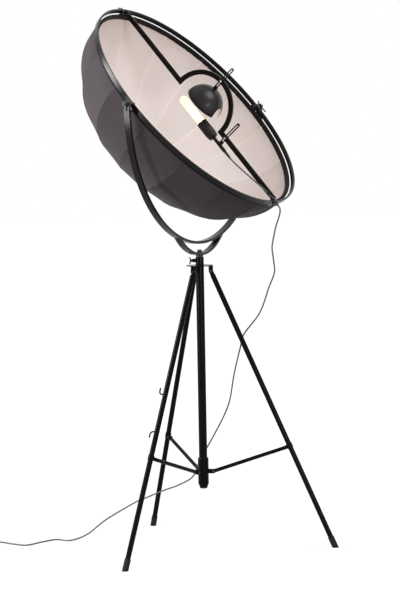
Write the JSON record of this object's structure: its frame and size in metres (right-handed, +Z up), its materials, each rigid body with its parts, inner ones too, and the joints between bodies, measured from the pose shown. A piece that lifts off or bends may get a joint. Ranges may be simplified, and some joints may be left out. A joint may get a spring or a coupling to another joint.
{
  "type": "tripod spotlight floor lamp",
  "caption": "Floor lamp with a wide gored fabric dish, a small reflector in front of its bulb and a tilting yoke, on a black folding tripod with a height-adjustable mast.",
  "frame": {"origin": "on the floor, on the axis of the column, midway between the feet", "axes": "+Z up along the column; +X to the right and +Y away from the viewer as the lamp is seen from the front"},
  "size_m": [1.2545, 0.8291, 1.7776],
  "materials": {
    "frame": "satin black enamel, worn to grey at the edges",
    "tripod": "satin black enamel",
    "fittings": "dark zinc, satin",
    "screws": "bright zinc",
    "bush": "black plastic",
    "feet": "black rubber",
    "cover": "black woven cloth",
    "lining": "white woven cloth",
    "reflector": "satin black outside",
    "holder": "black moulded plastic",
    "cap": "plain",
    "bulb": "clear amber",
    "filament": "glowing wire",
    "cord": "grey braided textile",
    "plug": "black moulded plastic"
  },
  "bodies": {
    "stand": {"column_tube": "tripod", "column_cap": "fittings", "column_bush": "bush", "head_plate": "tripod", "leg_brackets": "tripod", "leg_pins": "fittings", "collar": "tripod", "collar_bolts": "fittings", "clamp_boss": "tripod", "hanging_cord": "cord", "cord_coil": "cord", "plug": "plug"},
    "clamp_knob": {"clamp_screw": "fittings"},
    "leg_a": {"leg_tube_a": "tripod", "foot_a": "feet", "strut_bracket_a": "tripod", "cord_hooks": "tripod"},
    "leg_b": {"leg_tube_b": "tripod", "foot_b": "feet", "strut_bracket_b": "tripod"},
    "leg_c": {"leg_tube_c": "tripod", "foot_c": "feet", "strut_bracket_c": "tripod"},
    "strut_a": {"strut_a": "tripod"},
    "strut_b": {"strut_b": "tripod"},
    "strut_c": {"strut_c": "tripod"},
    "mast": {"mast_tube": "tripod", "mast_guide": "bush", "swivel_pin": "fittings", "swivel_nut": "fittings"},
    "yoke": {"yoke_bar": "frame", "yoke_stirrup": "frame", "yoke_hub": "frame"},
    "wing_near": {"wing_nut_near": "fittings"},
    "wing_far": {"wing_nut_far": "fittings"},
    "dish": {"frame_ring": "frame", "shade_hoop": "frame", "shade_cover": "cover", "shade_lining": "lining", "shade_ribs": "fittings", "apex_plate": "fittings", "ring_brackets": "frame", "ring_bolts": "screws", "pivot_screws": "screws", "pivot_spacers": "frame", "crossbar": "frame", "cord_clip": "frame", "reflector_screw": "screws", "holder_screw": "screws", "lead_cord": "cord"},
    "small_reflector": {"reflector_strip": "frame", "reflector_dome": "reflector"},
    "lamp": {"holder_strip": "frame", "holder_stem": "frame", "lampholder": "holder", "bulb_cap": "cap", "bulb_glass": "bulb", "filament": "filament"}
  },
  "joints": [
    {"name": "leg_a_fold", "type": "hinge", "parent": "stand", "child": "leg_a", "pos_m": [-0.02091, -0.02931, 0.911], "axis": [0.8141, -0.5807, 0], "range_deg": [0, 19]},
    {"name": "leg_b_fold", "type": "hinge", "parent": "stand", "child": "leg_b", "pos_m": [0.03583, -0.00345, 0.911], "axis": [0.0958, 0.9954, 0], "range_deg": [0, 19]},
    {"name": "leg_c_fold", "type": "hinge", "parent": "stand", "child": "leg_c", "pos_m": [-0.01493, 0.03276, 0.911], "axis": [-0.91, -0.4147, 0], "range_deg": [0, 19]},
    {"name": "strut_a_fold", "type": "hinge", "parent": "leg_a", "child": "strut_a", "pos_m": [-0.15641, -0.21928, 0.32988], "axis": [-0.8141, 0.5807, 0], "range_deg": [0, 95.5]},
    {"name": "strut_b_fold", "type": "hinge", "parent": "leg_b", "child": "strut_b", "pos_m": [0.26811, -0.02582, 0.32988], "axis": [-0.0958, -0.9954, 0], "range_deg": [0, 95.5]},
    {"name": "strut_c_fold", "type": "hinge", "parent": "leg_c", "child": "strut_c", "pos_m": [-0.1117, 0.2451, 0.32988], "axis": [0.91, 0.4147, 0], "range_deg": [0, 95.5]},
    {"name": "mast_height", "type": "slide", "parent": "stand", "child": "mast", "axis": [0, 0, 1], "range_m": [0, 0.45]},
    {"name": "mast_clamp", "type": "hinge", "parent": "stand", "child": "clamp_knob", "pos_m": [-0.02789, -0.00244, 0.946], "axis": [-0.9962, -0.0872, 0], "continuous": true},
    {"name": "head_swivel", "type": "hinge", "parent": "mast", "child": "yoke", "pos_m": [0, 0, 0.967], "axis": [0, 0, 1], "range_deg": [-60, 60]},
    {"name": "dish_tilt", "type": "hinge", "parent": "yoke", "child": "dish", "pos_m": [0, 0, 1.449], "axis": [0.4802, 0.8771, 0], "range_deg": [-49, 36]},
    {"name": "near_wing_turn", "type": "hinge", "parent": "yoke", "child": "wing_near", "pos_m": [-0.21802, -0.39822, 1.449], "axis": [0.4802, 0.8771, 0], "continuous": true},
    {"name": "far_wing_turn", "type": "hinge", "parent": "yoke", "child": "wing_far", "pos_m": [0.21802, 0.39822, 1.449], "axis": [0.4802, 0.8771, 0], "continuous": true},
    {"name": "reflector_slide", "type": "slide", "parent": "dish", "child": "small_reflector", "axis": [0.662, -0.3624, 0.6561], "range_m": [-0.024, 0.015]},
    {"name": "lamp_slide", "type": "slide", "parent": "dish", "child": "lamp", "axis": [0.662, -0.3624, 0.6561], "range_m": [-0.045, 0.004]}
  ],
  "couplings": [
    {"joint": "leg_b_fold", "follows": "leg_a_fold", "ratio": 1},
    {"joint": "leg_c_fold", "follows": "leg_a_fold", "ratio": 1},
    {"joint": "strut_a_fold", "follows": "leg_a_fold", "ratio": 5.015},
    {"joint": "strut_b_fold", "follows": "leg_a_fold", "ratio": 5.015},
    {"joint": "strut_c_fold", "follows": "leg_a_fold", "ratio": 5.015}
  ]
}
